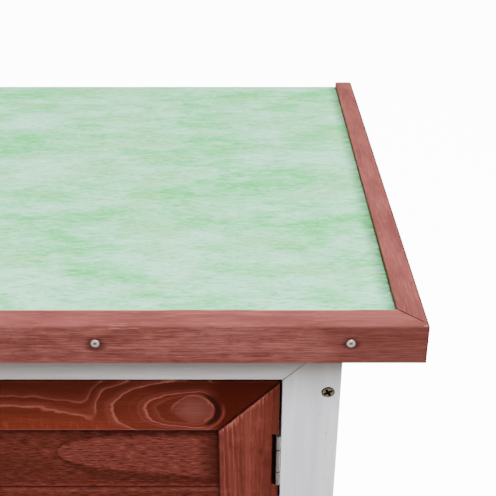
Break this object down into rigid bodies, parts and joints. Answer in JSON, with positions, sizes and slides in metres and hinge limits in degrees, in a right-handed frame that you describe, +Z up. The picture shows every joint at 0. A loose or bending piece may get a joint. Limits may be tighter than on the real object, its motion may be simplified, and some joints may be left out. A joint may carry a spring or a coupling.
{
  "type": "rabbit hutch",
  "caption": "Wooden rabbit hutch on four legs with a felted lift-up roof, a boarded door, a mesh door, a divider and a pull-out tray.",
  "frame": {"origin": "on the ground, under the middle of the roof's box", "axes": "+X to the right seen from the front, -Y out of the front, +Z up"},
  "size_m": [0.914, 0.4468, 0.6399],
  "materials": {
    "white_paint": "white paint brushed on pine, satin, slightly grey",
    "red_brown_stain": "deep red-brown stain on pine, satin, grain showing",
    "rim_stain": "rose-brown stain on sawn pine, matt",
    "bare_wood": "bare planed pine",
    "roof_felt": "pale green weatherproof felt, matt, mottled",
    "hinge_metal": "nickel-plated pressed steel, satin",
    "zinc_brass": "yellow zinc-plated steel, satin",
    "galvanised": "galvanised steel, dull"
  },
  "bodies": {
    "cabinet": {"back_boards": "red_brown_stain", "back_bottom_rail": "white_paint", "back_top_rail": "white_paint", "divider": "bare_wood", "floor_board": "bare_wood", "front_bottom_rail": "white_paint", "front_middle_rail": "white_paint", "front_middle_stile": "white_paint", "front_stile_left": "white_paint", "front_stile_right": "white_paint", "front_top_rail": "white_paint", "left_back_post": "white_paint", "left_bottom_rail": "white_paint", "left_door_hinge_lower_frame_leaf": "hinge_metal", "left_door_hinge_upper_frame_leaf": "hinge_metal", "left_front_post": "white_paint", "left_side_boards": "red_brown_stain", "left_top_rail": "white_paint", "right_back_post": "white_paint", "right_bottom_rail": "white_paint", "right_door_hinge_lower_frame_leaf": "hinge_metal", "right_door_hinge_upper_frame_leaf": "hinge_metal", "right_front_post": "white_paint", "right_side_boards": "red_brown_stain", "right_top_rail": "white_paint", "roof_hinge_left_rail_leaf": "hinge_metal", "roof_hinge_right_rail_leaf": "hinge_metal", "tray_runner_left": "bare_wood", "tray_runner_right": "bare_wood", "turn_button_screw": "zinc_brass"},
    "roof": {"roof_batten_back": "bare_wood", "roof_batten_front": "bare_wood", "roof_batten_left": "bare_wood", "roof_batten_middle": "bare_wood", "roof_batten_right": "bare_wood", "roof_board": "bare_wood", "roof_felt": "roof_felt", "roof_hinge_left_roof_leaf": "hinge_metal", "roof_hinge_right_roof_leaf": "hinge_metal", "roof_rim_front": "rim_stain", "roof_rim_left": "rim_stain", "roof_rim_right": "rim_stain"},
    "right_door": {"right_door_bottom_rail": "red_brown_stain", "right_door_hinge_lower_door_leaf": "hinge_metal", "right_door_hinge_upper_door_leaf": "hinge_metal", "right_door_left_stile": "red_brown_stain", "right_door_panel": "red_brown_stain", "right_door_right_stile": "red_brown_stain", "right_door_top_rail": "red_brown_stain"},
    "left_door": {"left_door_bottom_rail": "red_brown_stain", "left_door_hinge_lower_door_leaf": "hinge_metal", "left_door_hinge_upper_door_leaf": "hinge_metal", "left_door_left_stile": "red_brown_stain", "left_door_mesh": "galvanised", "left_door_right_stile": "red_brown_stain", "left_door_top_rail": "red_brown_stain"},
    "turn_button": {"turn_button": "red_brown_stain"},
    "tray": {"tray_front": "red_brown_stain", "tray_knob": "bare_wood", "tray_pan": "galvanised"}
  },
  "joints": [
    {"name": "roof_lift", "type": "hinge", "parent": "cabinet", "child": "roof", "pos_m": [0, 0.20286, 0.58105], "axis": [-1, 0, 0], "range_deg": [0, 90]},
    {"name": "right_door_swing", "type": "hinge", "parent": "cabinet", "child": "right_door", "pos_m": [0.3741, -0.19154, 0.42425], "axis": [0, 0, 1], "range_deg": [0, 165]},
    {"name": "left_door_swing", "type": "hinge", "parent": "cabinet", "child": "left_door", "pos_m": [-0.3741, -0.19154, 0.42425], "axis": [0, 0, -1], "range_deg": [0, 165]},
    {"name": "turn_button_turn", "type": "hinge", "parent": "cabinet", "child": "turn_button", "pos_m": [0, -0.19154, 0.42425], "axis": [0, 1, 0], "range_deg": [-90, 90]},
    {"name": "tray_slide", "type": "slide", "parent": "cabinet", "child": "tray", "axis": [0, -1, 0], "range_m": [0, 0.3]}
  ]
}
